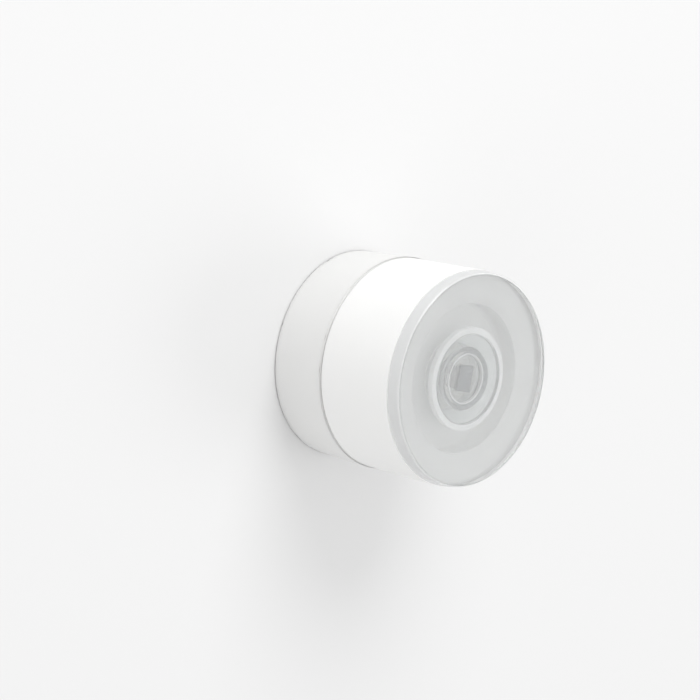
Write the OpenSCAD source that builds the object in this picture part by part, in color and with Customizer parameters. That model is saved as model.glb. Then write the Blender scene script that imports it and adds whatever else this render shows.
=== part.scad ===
// Round phone holder: a magnetic head that turns on a housing, and a clear suction cup on the housing's free end.
// Turning the head a quarter turn draws back the cup's centre through a barrel cam.
// The origin is the centre of the magnet face, and +Z runs along the axis to the cup.

/* [Body] */
// Outer diameter of the housing where the suction cup starts
body_d = 59.6; // [59:0.2:66]
// Height of the magnetic head, from the magnet face to the seam
head_h = 18.1; // [17:0.1:26]
// Height of the housing, from the seam to the suction cup
housing_h = 25.3; // [25:0.1:34]
// Gap between the two sections at the seam
seam_gap = 0.2; // [0.2:0.1:0.8]
// Wall thickness of both shells
wall = 2.2; // [1.8:0.1:2.6]
// How much the head narrows on each side towards the phone
head_draft = 0.8; // [0.2:0.1:0.9]
// How much the housing narrows on each side towards the seam
housing_draft = 0.4; // [0:0.1:0.5]
// How far the head stands out past the housing at the seam
seam_step = 0.2; // [0:0.05:0.3]
// Radius of the rounded edges at the seam and at the phone end
edge_r = 0.7; // [0.3:0.1:1]

/* [Suction cup] */
// Thickness of the suction cup at its rim
cup_t = 3.9; // [3.4:0.1:5]
// How much the cup narrows on each side towards its front
cup_taper = 0.5; // [0.2:0.1:0.8]
// Radius of the cup's front edge
cup_edge_r = 0.9; // [0.4:0.1:1.2]
// Width of the flat sealing land on the cup's front
land_w = 3; // [2:0.5:5]
// Depth of the shallow dish inside the land
cup_dish = 0.4; // [0.2:0.1:0.7]
// Outer diameter of the ring on the cup's back, around the hub
cup_ring_d = 28.4; // [27.6:0.2:31]
// Height of that ring, below the cup's back
cup_ring_h = 1.8; // [1:0.1:2]

/* [Recess] */
// Diameter of the recess behind the cup's centre
recess_d = 41.4; // [39:0.2:43]
// Depth of the recess, from the end of the housing to its floor
recess_depth = 6.6; // [6.6:0.1:7.6]
// Drop of the dished deck from its rim to the recess
deck_drop = 1.4; // [0.6:0.1:1.8]
// Width of the flat rim that the cup sits on
deck_rim_w = 2.2; // [1.4:0.1:3]
// Thickness of the recess floor
floor_t = 2; // [1.8:0.1:2.6]
// Radius of the rounding between the deck and the recess wall
deck_r = 0.8; // [0.3:0.1:1]
// Height of the raised collar round the hole in the floor
floor_collar_h = 0.4; // [0.2:0.1:0.5]

/* [Hub and rod] */
// Diameter of the hub's flange
hub_d = 24.6; // [24:0.2:26]
// Thickness of the hub's flange
hub_t = 2.2; // [1.9:0.1:2.4]
// Diameter of the boss under the flange
hub_boss_d = 17; // [15:0.2:18]
// Length of that boss
hub_boss_h = 2.4; // [1.6:0.1:2.6]
// Diameter of the sunk seat around the rod's head
hub_seat_d = 13.2; // [11:0.2:14.6]
// Short side of the rod's section
rod_w = 4.4; // [3.4:0.1:4.6]
// Long side of the rod's section
rod_l = 6.2; // [5:0.1:6.6]
// How far the rod's head stands out on each side
rod_head_out = 0.5; // [0.3:0.1:0.8]
// Thickness of the rod's head
rod_head_t = 0.8; // [0.6:0.1:1]
// Depth of the rod's head below the hub's top
rod_head_sink = 1.1; // [0:0.1:1.4]
// Thickness of the plate that guides the rod
guide_t = 2.2; // [1.8:0.1:2.4]
// Diameter of the plate that guides the rod
guide_d = 29; // [28:0.5:31]

/* [Cam] */
// How far the cup's centre is drawn back
draw = 4; // [3:0.1:4]
// Turn of the head from open to locked, in degrees
lock_angle = 90; // [75:1:110]
// Diameter of the cross pin
pin_d = 3; // [2.5:0.1:3]
// How far the pin stands out of the sleeve on each side
pin_out = 1.1; // [0.4:0.1:1.4]
// Outer diameter of the slotted sleeve
sleeve_d = 17; // [16:0.2:18]
// Bore of the sleeve
sleeve_bore_d = 10.4; // [9:0.2:11]
// Diameter of the journal that turns in the bearing plate
journal_d = 20.8; // [20:0.2:22]
// Diameter of the shoulder under the slip washer
shoulder_d = 26; // [25:0.5:28]
// Diameter of the sleeve's flange
flange_d = 41; // [40:0.5:43]
// Thickness of the sleeve's flange
flange_t = 2; // [1.6:0.1:2.6]
// Thickness of the bearing plate
plate_t = 2.4; // [2.2:0.1:2.6]
// Thickness of the slip washer
slip_t = 0.5; // [0.3:0.1:0.8]
// Thickness of the thrust washer
thrust_t = 0.4; // [0.3:0.1:0.6]
// Thickness of the retaining ring
clip_t = 0.8; // [0.6:0.1:0.9]

/* [Magnets] */
// Number of magnets in the ring
magnet_count = 16; // [12:1:20]
// Outer diameter of the magnet ring
magnet_ring_d = 54; // [53:0.2:54.4]
// Width of a magnet across the ring
magnet_w = 3.8; // [3:0.1:4.4]
// Thickness of a magnet
magnet_t = 2.2; // [1.6:0.1:2.6]
// Gap between neighbouring magnets
magnet_gap = 0.4; // [0.2:0.1:1]
// Thickness of the steel ring behind the magnets
shield_t = 0.6; // [0.4:0.1:1]
// Thickness of the soft pad on the face
pad_t = 1; // [0.8:0.1:1.4]
// How far the pad stands out of the shell
pad_proud = 0.3; // [0.1:0.1:0.4]

/* [Fasteners] */
// Diameter of the screws
screw_d = 2; // [1.7:0.1:2.2]
// Diameter of the screw heads
screw_head_d = 3.8; // [3.4:0.1:4]
// Height of the screw heads
screw_head_h = 1.3; // [1:0.1:1.4]

/* [Hidden] */
$fn = 96;
eps = 0.01;

// Clearances
running_gap = 0.05;  // between the journal and its bore, on the radius
end_play = 0.1;      // along the axis, at each washer
slide_gap = 0.08;    // between the rod and its guide, on each side
seat_gap = 0.1;      // between pieces that are assembled and then stay still
pin_gap = 0.12;      // between the pin and the sides of its slots
cup_gap = 0.15;      // between the hub and the ring around it, on the radius
travel_gap = 0.4;    // kept clear at the end of a travel

// Radii of the two sections
housing_top_r = body_d / 2;
housing_seam_r = housing_top_r - housing_draft;
head_seam_r = housing_seam_r + seam_step;
head_face_r = head_seam_r - head_draft;

// Levels of the head
head_plate_t = 2;
head_plate_z = pad_t + head_plate_t;
shield_z = pad_t + magnet_t;
channel_z = shield_z + shield_t;
channel_roof_z = channel_z + head_plate_t;
channel_out_r = magnet_ring_d / 2 + seat_gap * 2;
channel_in_r = magnet_ring_d / 2 - magnet_w - seat_gap * 2;

// Levels from the seam up: slip washer, bearing plate, thrust washer and retaining ring
seam_z = head_h + seam_gap;
plate_z = seam_z + slip_t;
plate_top_z = plate_z + plate_t;
thrust_top_z = plate_top_z + thrust_t;
clip_z = thrust_top_z + end_play;
clip_top_z = clip_z + clip_t;
clip_w = 2.6;
groove_depth = 0.8;
groove_r = journal_d / 2 - groove_depth;
collar_h = 0.9;
collar_z = clip_top_z + eps * 5 + collar_h;
washer_in_r = journal_d / 2 + 0.2;
lip_z = plate_z - seat_gap * 2;
shoulder_z = seam_z - end_play;
flange_top_z = seam_z - screw_head_h - travel_gap - 0.1;
flange_z = flange_top_z - flange_t;

// Levels from the cup down
deck_z = seam_z + housing_h;
top_z = deck_z + cup_t;
recess_z = deck_z - recess_depth;
floor_z = recess_z - floor_t;
guide_z = floor_z - guide_t;
sleeve_top_z = guide_z - travel_gap;
sleeve_end_t = 1;
slot_r = pin_d / 2 + pin_gap;
pin_z = sleeve_top_z - sleeve_end_t - slot_r;
hub_z = deck_z - cup_ring_h;
hub_top_z = hub_z + hub_t;
rod_head_z = hub_top_z - rod_head_sink - rod_head_t;
rod_tail = 3;
deck_t = 2.2;
deck_under_z = deck_z - deck_drop - deck_t;

// Places of the bosses and screws
boss_r = 2.9;
pilot_r = screw_d / 2 + 0.02;
clear_r = screw_d / 2 + 0.2;
plate_r = housing_seam_r - wall - seat_gap;
lip_r = plate_r - seat_gap;
land_r = housing_seam_r - edge_r - seat_gap;
plate_screw_r = plate_r - boss_r;
plate_screw_len = 8;
guide_screw_r = guide_d / 2 - screw_head_d / 2 - 0.6;
cam_boss_r = 3.2;
cam_screw_r = flange_d / 2 - screw_head_d / 2 - 1.6;
cam_screw_len = 8;
floor_hole_r = hub_boss_d / 2 + travel_gap;
floor_collar_r = floor_hole_r + 1.6;
blind_z = recess_z - 0.3;  // top of the blind screw holes under the floor

white = "#f3f3f1";
natural = "#e9e6dc";
clear = [0.86, 0.88, 0.88, 0.5];
steel = "#b9bcbf";

function magnet_name(i) = str("magnet_", i);

// Outer radius of each section at a height
function head_r(z) = head_face_r + head_draft * (z - pad_proud) / (head_h - pad_proud);
function housing_r(z) = housing_seam_r + housing_draft * (z - seam_z) / housing_h;

// Shared shapes
module ring(outer_r, inner_r, z0, z1) {
    rotate_extrude() translate([inner_r, z0]) square([outer_r - inner_r, z1 - z0]);
}

module round_bar(r, z0, z1) {
    translate([0, 0, z0]) cylinder(r = r, h = z1 - z0);
}

module around(r, count, start = 0) {
    for (i = [0 : count - 1]) rotate(start + i * 360 / count) translate([r, 0, 0]) children();
}

// The sliver between a corner of an outline and the arc that rounds it.
// The outline's two sides leave the corner v in the directions a and b.
module corner(v, a, b, r) {
    half = abs(b - a) / 2;
    mid = (a + b) / 2;
    reach = r / tan(half);
    centre = v + r / sin(half) * [cos(mid), sin(mid)];
    difference() {
        polygon([v, v + reach * [cos(a), sin(a)], centre, v + reach * [cos(b), sin(b)]]);
        translate(centre) circle(r);
    }
}

// A pan head screw along +Z, with the underside of its head at the origin and its head below
module screw(length) {
    slot_w = 0.6;
    difference() {
        translate([0, 0, -screw_head_h]) cylinder(d = screw_head_d, h = screw_head_h);
        for (a = [0, 90]) rotate(a) translate([-screw_head_d / 3, -slot_w / 2, -screw_head_h - eps])
            cube([screw_head_d * 2 / 3, slot_w, screw_head_h / 2]);
    }
    cylinder(d = screw_d, h = length);
}

// Magnetic head, with a land that floors the seam's groove and a lip that closes it from inside
module head_outline() {
    side = atan2(head_h - pad_proud, head_draft);
    difference() {
        polygon([[0, pad_proud], [head_face_r, pad_proud], [head_seam_r, head_h],
                 [land_r, head_h], [land_r, shoulder_z], [lip_r, shoulder_z], [lip_r, lip_z], [0, lip_z]]);
        corner([head_face_r, pad_proud], side, 180, edge_r);
        corner([head_seam_r, head_h], 180, 180 + side, edge_r);
    }
}

module head_cavity() {
    step_r = channel_in_r - head_plate_t;
    lip_t = 1.2;
    neck_z = head_h - 2;
    polygon([[0, head_plate_z], [step_r, head_plate_z], [step_r, channel_roof_z],
             [head_r(channel_roof_z) - wall, channel_roof_z], [head_r(neck_z) - wall, neck_z],
             [lip_r - lip_t, neck_z], [lip_r - lip_t, lip_z + eps], [0, lip_z + eps]]);
}

module head_shell() {
    rib_t = 1.4;
    rib_top_z = flange_z - 4;
    core_in_r = journal_d / 2 - 1.4;
    core_out_r = core_in_r + 2;
    color(white) difference() {
        union() {
            difference() {
                rotate_extrude() head_outline();
                rotate_extrude() head_cavity();
            }
            ring(core_out_r, core_in_r, head_plate_z - eps, flange_z);
            around(cam_screw_r, 3) round_bar(cam_boss_r, head_plate_z - eps, flange_z);
            around(0, 9, 20) translate([core_out_r - 0.5, -rib_t / 2, head_plate_z - eps])
                cube([head_r(head_plate_z) - wall / 2 - core_out_r, rib_t, rib_top_z - head_plate_z]);
        }
        round_bar(channel_out_r, pad_proud - eps, pad_t);
        ring(channel_out_r, channel_in_r, pad_t - eps, channel_z);
        around(cam_screw_r, 3) round_bar(pilot_r, flange_top_z - cam_screw_len - 0.6, flange_z + eps);
    }
}

module face_pad() {
    pad_r = channel_out_r - seat_gap * 2;
    pad_edge_r = 0.3;
    color("#e4e4e2") rotate_extrude() difference() {
        square([pad_r, pad_t]);
        corner([pad_r, 0], 90, 180, pad_edge_r);
    }
}

module magnet(i) {
    step = 360 / magnet_count;
    inner_r = magnet_ring_d / 2 - magnet_w;
    gap_angle = magnet_gap / inner_r * 180 / PI;
    color("#a9acb0") rotate((i - 1) * step + gap_angle / 2)
        rotate_extrude(angle = step - gap_angle)
            translate([inner_r, pad_t]) square([magnet_w, magnet_t]);
}

module shield_ring() {
    color(steel) ring(magnet_ring_d / 2, magnet_ring_d / 2 - magnet_w, shield_z, channel_z);
}

// Points of the helical slot: one four-cornered section at each step round the sleeve, taller near the axis
function slot_half_h(r) = slot_r * sqrt(1 + pow(draw / (lock_angle * PI / 180) / r, 2));
function slot_section(turned) =
    let (inner_r = sleeve_bore_d / 2 - 1, outer_r = sleeve_d / 2 + 1,
         z = pin_z - draw * turned, side = [cos(-lock_angle * turned), sin(-lock_angle * turned)])
    [for (c = [[inner_r, -1], [outer_r, -1], [outer_r, 1], [inner_r, 1]])
        [c[0] * side[0], c[0] * side[1], z + c[1] * slot_half_h(c[0])]];

module helical_slot() {
    steps = 18;
    rings = [for (i = [0 : steps]) slot_section(i / steps)];
    sides = [for (i = [0 : steps - 1]) for (k = [0 : 3])
        let (a = 4 * i + k, b = 4 * i + (k + 1) % 4) each [[a, a + 4, b], [b, a + 4, b + 4]]];
    polyhedron(points = [for (r = rings) each r],
               faces = concat([[0, 1, 2, 3]], sides, [[4 * steps + 3, 4 * steps + 2, 4 * steps + 1, 4 * steps]]));
    for (turned = [0, 1])
        translate([0, 0, pin_z - draw * turned]) rotate([0, 90, -lock_angle * turned])
            translate([0, 0, sleeve_bore_d / 2 - 1]) cylinder(r = slot_r, h = sleeve_d / 2 - sleeve_bore_d / 2 + 2);
}

module cam_sleeve() {
    journal_r = journal_d / 2;
    color(natural) difference() {
        rotate_extrude() polygon([
            [sleeve_bore_d / 2, flange_z], [flange_d / 2, flange_z], [flange_d / 2, flange_top_z],
            [shoulder_d / 2, flange_top_z], [shoulder_d / 2, shoulder_z], [journal_r, shoulder_z],
            [journal_r, clip_z - eps * 5], [groove_r, clip_z - eps * 5], [groove_r, clip_top_z + eps * 5],
            [journal_r, clip_top_z + eps * 5], [journal_r, collar_z], [sleeve_d / 2, collar_z],
            [sleeve_d / 2, sleeve_top_z], [sleeve_bore_d / 2, sleeve_top_z]]);
        for (half = [0, 180]) rotate(half) helical_slot();
        around(cam_screw_r, 3) round_bar(clear_r, flange_z - eps, flange_top_z + eps);
    }
}

module cam_screws() {
    color(steel) around(cam_screw_r, 3) translate([0, 0, flange_top_z]) mirror([0, 0, 1]) screw(cam_screw_len);
}

module retaining_ring() {
    inner_r = groove_r + 0.02;
    mid_r = inner_r + clip_w / 2;
    gap_angle = 24;
    lug_r = 1.5;
    lug_hole_r = 0.6;
    lug_angle = gap_angle / 2 + 6;
    color(steel) translate([0, 0, clip_z]) linear_extrude(clip_t) difference() {
        union() {
            circle(inner_r + clip_w);
            for (side = [-1, 1]) rotate(side * lug_angle) translate([mid_r + 0.8, 0]) circle(lug_r);
        }
        circle(inner_r);
        polygon([[0, 0], for (a = [-gap_angle / 2, gap_angle / 2]) 2 * mid_r * [cos(a), sin(a)]]);
        for (side = [-1, 1]) rotate(side * lug_angle) translate([mid_r + 0.8, 0]) circle(lug_hole_r);
    }
}

// Housing
module housing_outline() {
    inner_r = housing_seam_r - wall;
    recess_r = recess_d / 2;
    recess_out_r = recess_r + wall;
    rim_r = housing_top_r - deck_rim_w;
    collar_top_z = recess_z + floor_collar_h;
    rise = atan2(deck_z - seam_z, housing_draft);
    slope = atan2(deck_drop, rim_r - recess_r);
    top_edge_r = 0.3;
    floor_edge_r = 1.2;
    difference() {
        union() {
            polygon([[inner_r, seam_z], [housing_seam_r, seam_z], [housing_top_r, deck_z], [rim_r, deck_z],
                     [recess_r, deck_z - deck_drop], [recess_r, recess_z], [floor_collar_r, recess_z],
                     [floor_collar_r, collar_top_z], [floor_hole_r, collar_top_z], [floor_hole_r, floor_z],
                     [recess_out_r, floor_z], [recess_out_r, deck_under_z],
                     [housing_r(deck_under_z) - wall, deck_under_z]]);
            corner([recess_r, recess_z], 90, 180, floor_edge_r);
        }
        corner([housing_seam_r, seam_z], rise, 180, edge_r);
        corner([housing_top_r, deck_z], 180, 180 + rise, top_edge_r);
        corner([recess_r, deck_z - deck_drop], slope, -90, deck_r);
    }
}

module housing_shell() {
    recess_out_r = recess_d / 2 + wall;
    rib_t = 1.4;
    rib_z = floor_z - 4;
    color(white) difference() {
        union() {
            rotate_extrude() housing_outline();
            around(plate_screw_r, 4, 45) round_bar(boss_r, plate_top_z, deck_under_z + eps);
            around(0, 8, 22.5) translate([recess_out_r - 0.5, -rib_t / 2, rib_z])
                cube([housing_r(rib_z) - wall / 2 - recess_out_r + 0.5, rib_t, deck_under_z - rib_z + eps]);
            around(0, 8, 22.5) translate([guide_d / 2 + travel_gap, -rib_t / 2, rib_z])
                cube([recess_out_r - guide_d / 2 - travel_gap, rib_t, floor_z - rib_z + eps]);
        }
        around(plate_screw_r, 4, 45) round_bar(pilot_r, plate_top_z - eps, plate_top_z + plate_screw_len);
        around(guide_screw_r, 4, 45) round_bar(pilot_r, floor_z - eps, blind_z);
    }
}

// Height of the shallow dish on the cup's front at a radius
function dish_z(r, rim_r) = top_z - cup_dish * (1 - pow(r / rim_r, 2));

module suction_cup() {
    front_r = housing_top_r - cup_taper;
    dish_r = front_r - cup_edge_r - land_w;
    ring_r = cup_ring_d / 2;
    pocket_r = hub_d / 2 + cup_gap;
    dish_steps = 6;
    side = atan2(cup_t, cup_taper);
    back_edge_r = 0.3;
    color(clear) rotate_extrude() difference() {
        polygon([
            each [for (i = [0 : dish_steps]) let (r = dish_r * i / dish_steps) [r, dish_z(r, dish_r)]],
            [front_r, top_z], [housing_top_r, deck_z], [ring_r, deck_z], [ring_r, hub_z],
            [pocket_r, hub_z], [pocket_r, hub_top_z], [0, hub_top_z]]);
        corner([front_r, top_z], 180, 360 - side, cup_edge_r);
        corner([housing_top_r, deck_z], 180 - side, 180, back_edge_r);
    }
}

module bearing_plate() {
    rib_t = 1.2;
    rib_h = 2.4;
    web_r = shoulder_d / 2 + 3;
    color(white) difference() {
        union() {
            ring(plate_r, journal_d / 2 + running_gap, plate_z, plate_top_z);
            ring(web_r + rib_t, web_r, plate_top_z - eps, plate_top_z + rib_h);
            around(0, 8, 22.5) translate([web_r + rib_t / 2, -rib_t / 2, plate_top_z - eps])
                cube([plate_screw_r - web_r - rib_t, rib_t, rib_h]);
        }
        around(plate_screw_r, 4, 45) {
            round_bar(clear_r, plate_z - eps, plate_top_z + eps);
            round_bar(screw_head_d / 2 + seat_gap, plate_z - eps, plate_z + screw_head_h);
        }
    }
}

module plate_screws() {
    color(steel) around(plate_screw_r, 4, 45) translate([0, 0, plate_z + screw_head_h]) screw(plate_screw_len);
}

module slip_washer() {
    color(natural) ring(shoulder_d / 2, washer_in_r, seam_z, plate_z);
}

module thrust_washer() {
    color(steel) ring(shoulder_d / 2, washer_in_r, plate_top_z, thrust_top_z);
}

module guide_plate() {
    color(natural) difference() {
        round_bar(guide_d / 2, guide_z, floor_z);
        translate([-rod_w / 2 - slide_gap, -rod_l / 2 - slide_gap, guide_z - eps])
            cube([rod_w + 2 * slide_gap, rod_l + 2 * slide_gap, guide_t + 2 * eps]);
        around(guide_screw_r, 4, 45) round_bar(clear_r, guide_z - eps, floor_z + eps);
    }
}

module guide_screws() {
    length = blind_z - seat_gap * 2 - guide_z;
    color(steel) around(guide_screw_r, 4, 45) translate([0, 0, guide_z]) screw(length);
}

// Plunger
module cup_hub() {
    boss_z = hub_z - hub_boss_h;
    boss_r = hub_boss_d / 2;
    step = 0.8;
    color(clear) difference() {
        rotate_extrude() polygon([
            [0, boss_z], [boss_r - step, boss_z], [boss_r - step, boss_z + hub_boss_h / 2],
            [boss_r, boss_z + hub_boss_h / 2], [boss_r, hub_z], [hub_d / 2, hub_z],
            [hub_d / 2, hub_top_z], [hub_seat_d / 2, hub_top_z], [hub_seat_d / 2, rod_head_z], [0, rod_head_z]]);
        translate([-rod_w / 2, -rod_l / 2, boss_z - eps]) cube([rod_w, rod_l, hub_boss_h + hub_t]);
    }
}

module draw_rod() {
    tail_z = pin_z - rod_tail;
    head_w = rod_w + 2 * rod_head_out;
    head_l = rod_l + 2 * rod_head_out;
    color("#aeb3b5") difference() {
        union() {
            translate([-rod_w / 2, -rod_l / 2, tail_z]) cube([rod_w, rod_l, rod_head_z - tail_z]);
            translate([-head_w / 2, -head_l / 2, rod_head_z]) cube([head_w, head_l, rod_head_t]);
        }
        translate([-rod_w, 0, pin_z]) rotate([0, 90, 0]) cylinder(r = pin_d / 2 + 0.02, h = 2 * rod_w);
    }
}

module cross_pin() {
    half = sleeve_d / 2 + pin_out;
    bevel = 0.3;
    color(steel) translate([0, 0, pin_z]) rotate([0, 90, 0]) rotate_extrude() polygon([
        [0, -half], [pin_d / 2 - bevel, -half], [pin_d / 2, -half + bevel],
        [pin_d / 2, half - bevel], [pin_d / 2 - bevel, half], [0, half]]);
}

head_shell();
face_pad();
shield_ring();
cam_sleeve();
cam_screws();
retaining_ring();
housing_shell();
suction_cup();
bearing_plate();
plate_screws();
slip_washer();
thrust_washer();
guide_plate();
guide_screws();
cup_hub();
draw_rod();
cross_pin();
for (i = [1 : magnet_count]) magnet(i);
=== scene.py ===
# Round magnetic holder with a clear suction cup, standing on its magnet face with the cup up.
# Sizes are in millimetres and go through mm(). The axis of the holder is the Z axis.
import math

import bmesh
import bpy
from mathutils import Matrix, Vector


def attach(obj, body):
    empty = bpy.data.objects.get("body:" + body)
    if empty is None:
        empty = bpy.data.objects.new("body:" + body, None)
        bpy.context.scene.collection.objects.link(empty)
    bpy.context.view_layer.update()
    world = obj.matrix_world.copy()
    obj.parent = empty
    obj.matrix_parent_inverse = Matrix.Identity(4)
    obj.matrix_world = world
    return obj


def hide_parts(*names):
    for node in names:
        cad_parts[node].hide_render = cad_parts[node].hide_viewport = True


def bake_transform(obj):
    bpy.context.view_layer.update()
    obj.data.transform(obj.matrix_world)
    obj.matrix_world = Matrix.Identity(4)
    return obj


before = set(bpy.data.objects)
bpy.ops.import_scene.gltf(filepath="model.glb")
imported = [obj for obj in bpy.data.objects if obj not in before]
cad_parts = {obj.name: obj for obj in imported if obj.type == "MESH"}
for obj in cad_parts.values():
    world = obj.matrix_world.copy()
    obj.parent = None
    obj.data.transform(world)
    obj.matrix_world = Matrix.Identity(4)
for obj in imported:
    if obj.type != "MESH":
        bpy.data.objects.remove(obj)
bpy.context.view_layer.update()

# general helpers


def mm(value):
    return value / 1000


def hexColour(code, alpha=1.0):
    # sRGB hex to the linear values that the shader sockets take
    parts = [int(code[i:i + 2], 16) / 255 for i in (1, 3, 5)]
    return (*(c / 12.92 if c <= 0.04045 else ((c + 0.055) / 1.055) ** 2.4 for c in parts), alpha)


def deselectAll():
    if bpy.context.object and bpy.context.object.mode != "OBJECT":
        bpy.ops.object.mode_set(mode="OBJECT")
    bpy.ops.object.select_all(action="DESELECT")


def makeActive(piece):
    deselectAll()
    piece.select_set(True)
    bpy.context.view_layer.objects.active = piece


def namePiece(name):
    piece = bpy.context.object
    piece.name = name
    piece.data.name = name
    bpy.ops.object.transform_apply(location=True, rotation=True, scale=True)
    return piece


def selectWhere(piece, test):
    # selects the vertices that pass the test, and with them the edges and faces between those
    bpy.ops.mesh.select_all(action="DESELECT")
    mesh = bmesh.from_edit_mesh(piece.data)
    for vert in mesh.verts:
        vert.select = test(vert.co * 1000)
    mesh.select_flush_mode()
    mesh.select_flush(True)
    bmesh.update_edit_mesh(piece.data)


def onRing(radius, height, slack=0.004):
    return lambda p: abs(math.hypot(p.x, p.y) - radius) < slack and abs(p.z - height) < slack


def pullRing(radius, height, toRadius, toHeight):
    # extrudes the selected ring of edges to another radius and height
    bpy.ops.mesh.extrude_edges_move(TRANSFORM_OT_translate={"value": (0, 0, mm(toHeight - height))})
    scale = toRadius / radius
    bpy.ops.transform.resize(value=(scale, scale, 1), center_override=(0, 0, mm(toHeight)))


def closePole(piece, radius, height, poleHeight):
    # closes an open end: the ring is extruded and merged into one point on the axis
    selectWhere(piece, onRing(radius, height))
    bpy.ops.mesh.extrude_edges_move(TRANSFORM_OT_translate={"value": (0, 0, mm(poleHeight - height))})
    bpy.ops.mesh.merge(type="CENTER")


def turnPiece(name, stations, segments, poles=None):
    # A turned piece: a circle is pulled through the stations (radius, height, edge rounding), and closed
    # on itself, or at both ends on the axis when poles gives the two heights there.
    deselectAll()
    radius, height = stations[0][:2]
    bpy.ops.mesh.primitive_circle_add(vertices=segments, radius=mm(radius), location=(0, 0, mm(height)))
    piece = namePiece(name)
    bpy.ops.object.mode_set(mode="EDIT")
    bpy.ops.mesh.select_all(action="SELECT")
    for (r0, z0, _), (r1, z1, _) in zip(stations, stations[1:]):
        pullRing(r0, z0, r1, z1)
    if poles:
        closePole(piece, radius, height, poles[0])
        closePole(piece, *stations[-1][:2], poles[1])
    else:
        pullRing(*stations[-1][:2], radius, height)
    bpy.ops.mesh.select_all(action="SELECT")
    bpy.ops.mesh.remove_doubles(threshold=mm(0.002))
    for r, z, rounding in stations:
        if rounding:
            selectWhere(piece, onRing(r, z))
            bpy.ops.mesh.bevel(offset=mm(rounding), segments=5, affect="EDGES")
    bpy.ops.mesh.select_all(action="SELECT")
    bpy.ops.mesh.normals_make_consistent(inside=False)
    bpy.ops.object.mode_set(mode="OBJECT")
    return piece


def smooth(piece, degrees=32):
    makeActive(piece)
    bpy.ops.object.shade_smooth_by_angle(angle=math.radians(degrees))


def cutAway(piece, cutter, name):
    # cuts the cutter's shape out of the piece, then deletes the cutter
    makeActive(piece)
    cut = piece.modifiers.new(name, "BOOLEAN")
    cut.operation, cut.solver, cut.object = "DIFFERENCE", "EXACT", cutter
    bpy.ops.object.modifier_apply(modifier=cut.name)
    bpy.data.objects.remove(cutter)


def coat(piece, *materials):
    piece.data.materials.clear()
    for material in materials:
        piece.data.materials.append(material)


def addNode(material, kind, settings=None, links=None):
    # a node with its settings, which are sockets or properties, and the links into it
    node = material.node_tree.nodes.new(kind)
    for name, value in (settings or {}).items():
        if isinstance(name, int) or name in node.inputs:
            node.inputs[name].default_value = value
        else:
            setattr(node, name, value)
    for name, source in (links or {}).items():
        material.node_tree.links.new(source, node.inputs[name])
    return node


def startMaterial(name):
    material = bpy.data.materials.new(name)
    material.use_nodes = True
    material.node_tree.nodes.clear()
    return material


def finishMaterial(material, settings, links):
    shader = addNode(material, "ShaderNodeBsdfPrincipled", settings, links)
    addNode(material, "ShaderNodeOutputMaterial", links={"Surface": shader.outputs[0]})
    return material


# materials


def mouldedPlastic(name, light, shade, roughness, grainMm, grainDepthMm, ior=1.54, subsurface=0.0, deck=None):
    # Injection moulded plastic: a fine spark eroded grain from the mould, slow drifts in colour and gloss.
    # The real grain is about 0.1 mm wide. It is drawn at 0.25 to 0.4 mm, as coarse as it needs to be to show.
    # The deck, if there is one, gets painted shade: a greyer colour above its lowest height and inside the outer
    # wall.
    material = startMaterial(name)
    place = addNode(material, "ShaderNodeTexCoord").outputs["Object"]
    driftMm = 18
    drift = addNode(material, "ShaderNodeTexNoise", {"Scale": 1000 / driftMm, "Detail": 2.0}, {"Vector": place})
    grain = addNode(material, "ShaderNodeTexNoise",
                    {"Scale": 1000 / grainMm, "Detail": 3.0, "Roughness": 0.6}, {"Vector": place})
    tone = addNode(material, "ShaderNodeMix",
                   {"data_type": "RGBA", 6: hexColour(shade), 7: hexColour(light)}, {0: drift.outputs["Fac"]})
    gloss = addNode(material, "ShaderNodeMapRange",
                    {"From Min": 0.3, "From Max": 0.7, "To Min": roughness - 0.04, "To Max": roughness + 0.04},
                    {"Value": grain.outputs["Fac"]})
    bump = addNode(material, "ShaderNodeBump", {"Strength": 0.5, "Distance": mm(grainDepthMm)},
                   {"Height": grain.outputs["Fac"]})
    # painted shade: the deck under the cup is drawn greyer than the rest of the housing
    if deck:
        height = addNode(material, "ShaderNodeSeparateXYZ", links={"Vector": place}).outputs["Z"]
        flat = addNode(material, "ShaderNodeVectorMath", {"operation": "MULTIPLY", 1: (1, 1, 0)}, {0: place})
        reach = addNode(material, "ShaderNodeVectorMath", {"operation": "LENGTH"}, {0: flat.outputs["Vector"]})
        above = addNode(material, "ShaderNodeMath", {"operation": "GREATER_THAN", 1: mm(deck["lowZ"])}, {0: height})
        inside = addNode(material, "ShaderNodeMath", {"operation": "LESS_THAN", 1: mm(deck["outerR"])},
                         {0: reach.outputs["Value"]})
        onDeck = addNode(material, "ShaderNodeMath", {"operation": "MULTIPLY"},
                         {0: above.outputs[0], 1: inside.outputs[0]})
        tone = addNode(material, "ShaderNodeMix", {"data_type": "RGBA", 7: hexColour(deck["colour"])},
                       {0: onDeck.outputs[0], 6: tone.outputs[2]})
    settings = {"IOR": ior}
    if subsurface:
        settings.update({"Subsurface Weight": subsurface, "Subsurface Radius": (1.0, 1.0, 0.9),
                         "Subsurface Scale": mm(1.2)})
    return finishMaterial(material, settings,
                          {"Base Color": tone.outputs[2], "Roughness": gloss.outputs["Result"],
                           "Normal": bump.outputs["Normal"]})


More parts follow.
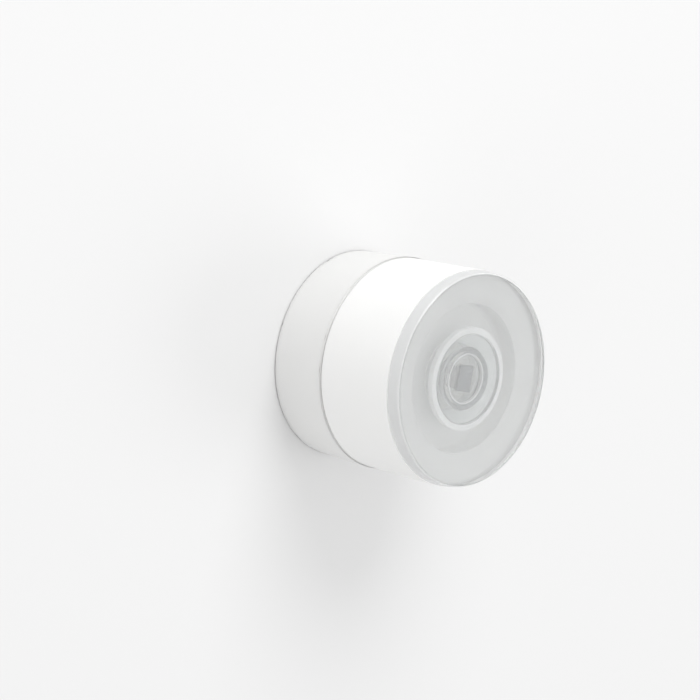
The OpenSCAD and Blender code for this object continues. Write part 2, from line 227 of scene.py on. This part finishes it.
def clearPlastic(name, tint, clarity, ior, roughness, flowMm, flowDepthMm):
    # Clear moulded plastic: light passes through it, and what clarity leaves over scatters as a milky veil
    material = startMaterial(name)
    place = addNode(material, "ShaderNodeTexCoord").outputs["Object"]
    flow = addNode(material, "ShaderNodeTexNoise", {"Scale": 1000 / flowMm, "Detail": 2.0}, {"Vector": place})
    haze = addNode(material, "ShaderNodeMapRange",
                   {"From Min": 0.3, "From Max": 0.7, "To Min": roughness * 0.8, "To Max": roughness * 1.2},
                   {"Value": flow.outputs["Fac"]})
    bump = addNode(material, "ShaderNodeBump", {"Strength": 0.4, "Distance": mm(flowDepthMm)},
                   {"Height": flow.outputs["Fac"]})
    return finishMaterial(material,
                          {"Base Color": hexColour(tint), "IOR": ior, "Transmission Weight": clarity},
                          {"Roughness": haze.outputs["Result"], "Normal": bump.outputs["Normal"]})


def bareMetal(name, light, shade, roughness, streakMm, streakDepthMm, across=(1, 1, 1)):
    # Metal with the marks that its making left: streaks where across stretches them, else a fine pebble.
    # Real marks are about 0.1 mm wide, and these are drawn at 0.35 to 0.5 mm so that they show.
    material = startMaterial(name)
    place = addNode(material, "ShaderNodeTexCoord").outputs["Object"]
    turned = addNode(material, "ShaderNodeMapping", {"Scale": across}, {"Vector": place})
    marks = addNode(material, "ShaderNodeTexNoise", {"Scale": 1000 / streakMm, "Detail": 3.0},
                    {"Vector": turned.outputs["Vector"]})
    tone = addNode(material, "ShaderNodeMix",
                   {"data_type": "RGBA", 6: hexColour(shade), 7: hexColour(light)}, {0: marks.outputs["Fac"]})
    gloss = addNode(material, "ShaderNodeMapRange",
                    {"From Min": 0.3, "From Max": 0.7, "To Min": roughness - 0.06, "To Max": roughness + 0.06},
                    {"Value": marks.outputs["Fac"]})
    bump = addNode(material, "ShaderNodeBump", {"Strength": 0.4, "Distance": mm(streakDepthMm)},
                   {"Height": marks.outputs["Fac"]})
    return finishMaterial(material, {"Metallic": 1.0},
                          {"Base Color": tone.outputs[2], "Roughness": gloss.outputs["Result"],
                           "Normal": bump.outputs["Normal"]})


# where the deck under the cup gets painted shade, and its greyer colour
paintedDeckShade = {"lowZ": 41.9, "outerR": 29.3, "colour": "#e3e3e2"}
# white ABS with a satin mould grain: a soft broad sheen, no sharp reflection, and painted shade on the deck under
# the cup, drawn a shade greyer
satinAbs = mouldedPlastic("satinMouldedAbs", "#f4f4f3", "#f0f0ef", 0.46, 0.3, 0.012, 1.54, 0.08, paintedDeckShade)
# the same white ABS for the head, painted a shade greyer than the housing: painted shade, as if the head stood in
# shade
headAbsPaintedShade = mouldedPlastic("mouldedAbsHeadPaintedShade", "#e8e8e7", "#e4e4e3", 0.46, 0.3, 0.012, 1.54, 0.08)
# clear soft polyurethane, polished mould: see-through with a faint grey haze
clearTpu = clearPlastic("clearMouldedTpu", "#fafbfb", 0.86, 1.48, 0.02, 9.0, 0.004)
# the same with a blasted mould face round the rim: satin, so it scatters light and shows pale
satinTpu = clearPlastic("satinMouldedTpu", "#fbfcfc", 0.4, 1.48, 0.2, 2.5, 0.01)
# the housing's white ABS where the cup's rim is bonded to it: a pale line seen from inside the clear cup
bondedAbs = mouldedPlastic("bondedAbs", "#f8f8f7", "#f5f5f4", 0.6, 0.3, 0.01)
# milky polyurethane of the ring that holds the hub: a soft, bright white
milkyTpu = mouldedPlastic("milkyMouldedTpu", "#fdfdfd", "#fafbfb", 0.5, 0.25, 0.01, 1.48, 0.2)
# clear hard polycarbonate: crisp edges that catch light and dark
clearPc = clearPlastic("clearMouldedPolycarbonate", "#dce1e1", 0.97, 1.58, 0.02, 6.0, 0.004)
# the same polycarbonate painted mid grey on the boss's sides and in the mouth of the rod's seat: painted shade
paintedShadePc = mouldedPlastic("polycarbonatePaintedShade", "#8e9396", "#80858a", 0.5, 0.3, 0.02, 1.58)
# painted dark on the step round the boss, where hardly any light comes back: a painted shadow ring
paintedShadowPc = mouldedPlastic("polycarbonatePaintedShadow", "#505659", "#44494c", 0.5, 0.3, 0.02, 1.58)
# painted pale on the ledge of the rod's seat and on the flange's rim: painted highlights where these clear edges
# catch light
paintedHighlightPc = mouldedPlastic("polycarbonatePaintedHighlight", "#f6f8f8", "#eef0f0", 0.45, 0.3, 0.01, 1.58)
# soft pale silicone: matt, slightly translucent
matteSilicone = mouldedPlastic("matteSilicone", "#e6e6e4", "#dededc", 0.62, 0.4, 0.02, 1.43, 0.15)
# natural acetal: milky off-white, waxy
milkyAcetal = mouldedPlastic("machinedAcetal", "#edeae1", "#e6e2d8", 0.38, 0.35, 0.01, 1.48, 0.2)
# zinc die casting: grey with a fine cast skin
castZinc = bareMetal("dieCastZinc", "#565b5e", "#464b4e", 0.42, 0.35, 0.012)
# zinc plated steel: pale, slightly bluish
platedSteel = bareMetal("zincPlatedSteel", "#c4c8cc", "#aeb3b8", 0.32, 0.5, 0.006, (1, 1, 4))
# blackened spring steel: dark with a low sheen
springSteel = bareMetal("oiledSpringSteel", "#6b6e72", "#55585c", 0.36, 0.4, 0.006, (1, 4, 1))
# nickel plated magnet: warm silver, fine pebble from tumbling
nickelPlate = bareMetal("nickelPlatedMagnet", "#c9c6be", "#b2afa7", 0.28, 0.45, 0.01)

cadFinishes = {
    satinAbs: ["housing_shell", "bearing_plate"],
    headAbsPaintedShade: ["head_shell"],
    milkyAcetal: ["cam_sleeve", "slip_washer", "guide_plate"],
    platedSteel: ["shield_ring", "cam_screws", "plate_screws", "guide_screws", "thrust_washer", "cross_pin"],
    springSteel: ["retaining_ring"],
    nickelPlate: sorted(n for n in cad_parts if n.startswith("magnet_")),
}
for finish, nodeNames in cadFinishes.items():
    for nodeName in nodeNames:
        coat(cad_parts[nodeName], finish)
print("materials done")

# suction cup

cup = {
    "outerR": 29.8, "frontR": 29.3, "backZ": 43.62, "frontZ": 47.5,
    "landR": 25.4, "dish": 0.4, "ringOuterR": 14.2, "ringInnerR": 12.45, "ringZ": 41.8, "pocketZ": 44.0,
    "ringGap": 0.03, "ringSideGap": 0.05, "edgeR": 0.9, "backEdgeR": 0.3, "segments": 192,
    "rimR": 28.8,  # outside this radius the cup's side is satin and its back is bonded to the housing
    "satinLean": 0.85,  # the satin side goes up the front edge to where its normal leans this far forward
    "stillR": 24.5,  # outside this radius the cup stays still when its centre is drawn back
}


def dishHeight(radius):
    return cup["frontZ"] - cup["dish"] * (1 - (radius / cup["landR"]) ** 2)


def makeSuctionCup():
    frontRadii = [2.2 + i * (cup["landR"] - 2.2) / 16 for i in range(17)]
    backRadii = [cup["rimR"], 27.6, 26, 24.4, 22.8, 21.2, 19.6, 18, 16.4, cup["ringOuterR"]]
    pocketRadii = [10.6, 8.2, 5.8, 3.4, 1.6]
    stations = [(r, dishHeight(r), 0) for r in frontRadii]
    stations += [(cup["frontR"], cup["frontZ"], cup["edgeR"]), (cup["outerR"], cup["backZ"], cup["backEdgeR"])]
    stations += [(r, cup["backZ"], 0) for r in backRadii]
    stations += [(cup["ringInnerR"], cup["backZ"], 0.1), (cup["ringInnerR"], cup["pocketZ"], 0.1)]
    stations += [(r, cup["pocketZ"], 0) for r in pocketRadii]
    piece = turnPiece("suctionCup", stations, cup["segments"], (dishHeight(0), cup["pocketZ"]))
    smooth(piece)
    coat(piece, clearTpu, satinTpu, bondedAbs)
    satin, bonded = 1, 2  # material slots
    for face in piece.data.polygons:
        if face.center.xy.length * 1000 > cup["rimR"]:
            if abs(face.normal.z) < cup["satinLean"]:
                face.material_index = satin
            elif face.normal.z < -0.9:
                face.material_index = bonded
    return piece


def makeHubRing():
    top, inner = cup["backZ"] - cup["ringGap"], cup["ringInnerR"] + cup["ringSideGap"]
    stations = [(inner, top, 0.12), (cup["ringOuterR"], top, 0.12),
                (cup["ringOuterR"], cup["ringZ"], 0.35), (inner, cup["ringZ"], 0.15)]
    piece = turnPiece("hubRing", stations, cup["segments"])
    smooth(piece)
    coat(piece, milkyTpu)
    return piece


suctionCup = makeSuctionCup()
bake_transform(suctionCup)
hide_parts("suction_cup")
hubRing = makeHubRing()
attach(hubRing, "plunger")
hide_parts("suction_cup")
print("suction cup done")

# hub behind the cup's centre

hub = {
    "flangeR": 12.3, "flangeZ": 41.8, "topZ": 43.95, "bossR": 8.5, "neckR": 7.7, "stepZ": 40.6, "endZ": 39.4,
    "seatR": 6.6, "rimR": 7.0, "rimZ": 43.05, "mouthR": 7.9, "seatZ": 42.1, "rodW": 4.4, "rodL": 6.2,
    "rodGap": 0.06, "segments": 128,
}


def makeCupHub():
    stations = [
        (3.0, hub["seatZ"], 0), (hub["seatR"], hub["seatZ"], 0.15), (hub["seatR"], hub["rimZ"], 0),
        (hub["rimR"], hub["rimZ"], 0), (hub["mouthR"], hub["topZ"], 0.1),
        (hub["flangeR"], hub["topZ"], 0.12), (hub["flangeR"], hub["flangeZ"], 0.3),
        (hub["bossR"], hub["flangeZ"], 0.4), (hub["bossR"], hub["stepZ"], 0.25), (hub["neckR"], hub["stepZ"], 0.1),
        (hub["neckR"], hub["endZ"], 0.3), (3.0, hub["endZ"], 0)]
    piece = turnPiece("cupHub", stations, hub["segments"], (hub["seatZ"], hub["endZ"]))
    deselectAll()
    width, length = hub["rodW"] + hub["rodGap"], hub["rodL"] + hub["rodGap"]
    height = hub["seatZ"] - hub["endZ"] + 2  # past both faces
    bpy.ops.mesh.primitive_cube_add(size=1, location=(0, 0, mm((hub["seatZ"] + hub["endZ"]) / 2)),
                                    scale=(mm(width), mm(length), mm(height)))
    cutAway(piece, namePiece("rodSlotCutter"), "rodSlot")
    smooth(piece)
    coat(piece, clearPc, paintedShadePc, paintedHighlightPc, paintedShadowPc)
    grey, pale, dark = 1, 2, 3  # material slots
    slack = 0.05
    # painted shade on the boss's sides and the seat's mouth, painted shadow on the step round the boss, painted
    # highlights on the seat's wall and ledge and on the flange's rim
    for face in piece.data.polygons:
        reach, height = face.center.xy.length * 1000, face.center.z * 1000
        if hub["stepZ"] - slack < height < hub["flangeZ"] - slack and reach > hub["neckR"] + slack:
            face.material_index = dark if abs(face.normal.z) > 0.7 else grey
        elif hub["seatR"] - slack < reach < hub["rimR"] and height > hub["seatZ"] + 2 * slack:
            face.material_index = pale
        elif hub["rimR"] < reach < hub["mouthR"] and height > hub["rimZ"]:
            face.material_index = grey
        elif reach > hub["flangeR"] - slack:
            face.material_index = pale
    return piece


cupHub = makeCupHub()
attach(cupHub, "plunger")
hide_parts("cup_hub")
print("hub done")

# draw rod with its rectangular head

rod = {
    "width": 4.4, "length": 6.2, "headOut": 0.5, "headZ": 42.1, "headT": 0.8, "tailZ": 26.78,
    "pinZ": 29.78, "pinR": 1.52, "edgeR": 0.15,
}


def makeDrawRod():
    deselectAll()
    shankTop = rod["headZ"]
    bpy.ops.mesh.primitive_cube_add(
        size=1, location=(0, 0, mm((rod["tailZ"] + shankTop) / 2)),
        scale=(mm(rod["width"]), mm(rod["length"]), mm(shankTop - rod["tailZ"])))
    piece = namePiece("drawRod")
    bpy.ops.object.mode_set(mode="EDIT")
    selectWhere(piece, lambda p: p.z > shankTop - 0.01)
    bpy.ops.mesh.extrude_region_move(TRANSFORM_OT_translate={"value": (0, 0, 0)})
    bpy.ops.transform.resize(
        value=(1 + 2 * rod["headOut"] / rod["width"], 1 + 2 * rod["headOut"] / rod["length"], 1),
        center_override=(0, 0, mm(shankTop)))
    bpy.ops.mesh.extrude_region_move(TRANSFORM_OT_translate={"value": (0, 0, mm(rod["headT"]))})
    bpy.ops.mesh.select_all(action="SELECT")
    bpy.ops.mesh.normals_make_consistent(inside=False)
    bpy.ops.object.mode_set(mode="OBJECT")
    bpy.ops.mesh.primitive_cylinder_add(vertices=64, radius=mm(rod["pinR"]), depth=mm(2 * rod["width"]),
                                        location=(0, 0, mm(rod["pinZ"])), rotation=(0, math.pi / 2, 0))
    cutAway(piece, namePiece("pinHoleCutter"), "pinHole")
    ease = piece.modifiers.new("castEdges", "BEVEL")
    ease.width, ease.segments, ease.limit_method, ease.angle_limit = mm(rod["edgeR"]), 3, "ANGLE", math.radians(50)
    bpy.ops.object.modifier_apply(modifier=ease.name)
    smooth(piece)
    coat(piece, castZinc)
    return piece


drawRod = makeDrawRod()
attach(drawRod, "plunger")
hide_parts("draw_rod")
print("draw rod done")

# soft pad on the magnet face

pad = {"outerR": 27.0, "thickness": 1.0, "edgeR": 0.35, "segments": 192}


def makeFacePad():
    stations = [(r, 0, 0) for r in (3, 9, 15, 21)]
    stations += [(pad["outerR"], 0, pad["edgeR"]), (pad["outerR"], pad["thickness"], 0.1)]
    stations += [(r, pad["thickness"], 0) for r in (21, 15, 9, 3)]
    piece = turnPiece("facePad", stations, pad["segments"], (0, pad["thickness"]))
    smooth(piece)
    coat(piece, matteSilicone)
    return piece


facePad = makeFacePad()
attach(facePad, "head")
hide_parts("face_pad")
print("face pad done")

# studio: floor, light and camera

studio = {
    "floorSize": 8.0, "floorLight": "#e8e8e8", "floorShade": "#e5e5e5", "skyStrength": 0.79,
    "lights": [
        # name, place in metres, aim height in metres, size, watts
        ("keyLight", (-0.25, 0.95, 0.75), 0.03, 0.9, 6.9),
        ("fillLight", (-0.9, -0.5, 0.7), 0.03, 0.9, 1.0),
        ("faceLight", (0.9, -0.05, 0.85), 0.04, 0.8, 2.5),
    ],
}


def makeStudio():
    deselectAll()
    bpy.ops.mesh.primitive_plane_add(size=studio["floorSize"], location=(0, 0, 0))
    floor = bpy.context.object
    floor.name = "studioFloor"
    paint = startMaterial("paleFloor")
    place = addNode(paint, "ShaderNodeTexCoord").outputs["Object"]
    cloud = addNode(paint, "ShaderNodeTexNoise", {"Scale": 1.5}, {"Vector": place})
    tone = addNode(paint, "ShaderNodeMix", {"data_type": "RGBA", 6: hexColour(studio["floorShade"]),
                                            7: hexColour(studio["floorLight"])}, {0: cloud.outputs["Fac"]})
    finishMaterial(paint, {"Roughness": 0.9, "Specular IOR Level": 0.1}, {"Base Color": tone.outputs[2]})
    floor.data.materials.append(paint)
    world = bpy.data.worlds.new("studioWorld")
    world.use_nodes = True
    sky = world.node_tree.nodes["Background"]
    sky.inputs["Color"].default_value = (1, 1, 1, 1)
    sky.inputs["Strength"].default_value = studio["skyStrength"]
    bpy.context.scene.world = world
    for name, place, aimZ, size, watts in studio["lights"]:
        data = bpy.data.lights.new(name, "AREA")
        data.shape, data.size, data.energy = "DISK", size, watts
        lamp = bpy.data.objects.new(name, data)
        bpy.context.scene.collection.objects.link(lamp)
        lamp.location = place
        lamp.rotation_euler = (Vector((0, 0, aimZ)) - Vector(place)).to_track_quat("-Z", "Y").to_euler()
    bpy.context.scene.view_settings.view_transform = "Standard"
    # light goes round inside the clear cup many times before it leaves
    cycles = bpy.context.scene.cycles
    cycles.max_bounces, cycles.transmission_bounces, cycles.glossy_bounces, cycles.diffuse_bounces = 32, 32, 16, 8


# place in millimetres, the directions of the picture's right and down, lens and sensor width
camera = {
    "place": (-687.53, 44.14, 646.18),
    "right": (0.679924, 0.174807, 0.712141),
    "down": (0.086866, -0.983532, 0.158489),
    "lens": 173.87, "sensor": 36,
}


def makeCamera():
    data = bpy.data.cameras.new("photoCamera")
    data.lens, data.sensor_width = camera["lens"], camera["sensor"]
    data.clip_start, data.clip_end = 0.01, 50
    viewer = bpy.data.objects.new("photoCamera", data)
    bpy.context.scene.collection.objects.link(viewer)
    right, up = Vector(camera["right"]), -Vector(camera["down"])
    turn = Matrix((right, up, right.cross(up))).transposed()
    viewer.matrix_world = Matrix.Translation(Vector(camera["place"]) / 1000) @ turn.to_4x4()
    bpy.context.scene.camera = viewer


makeStudio()
makeCamera()
print("studio done")
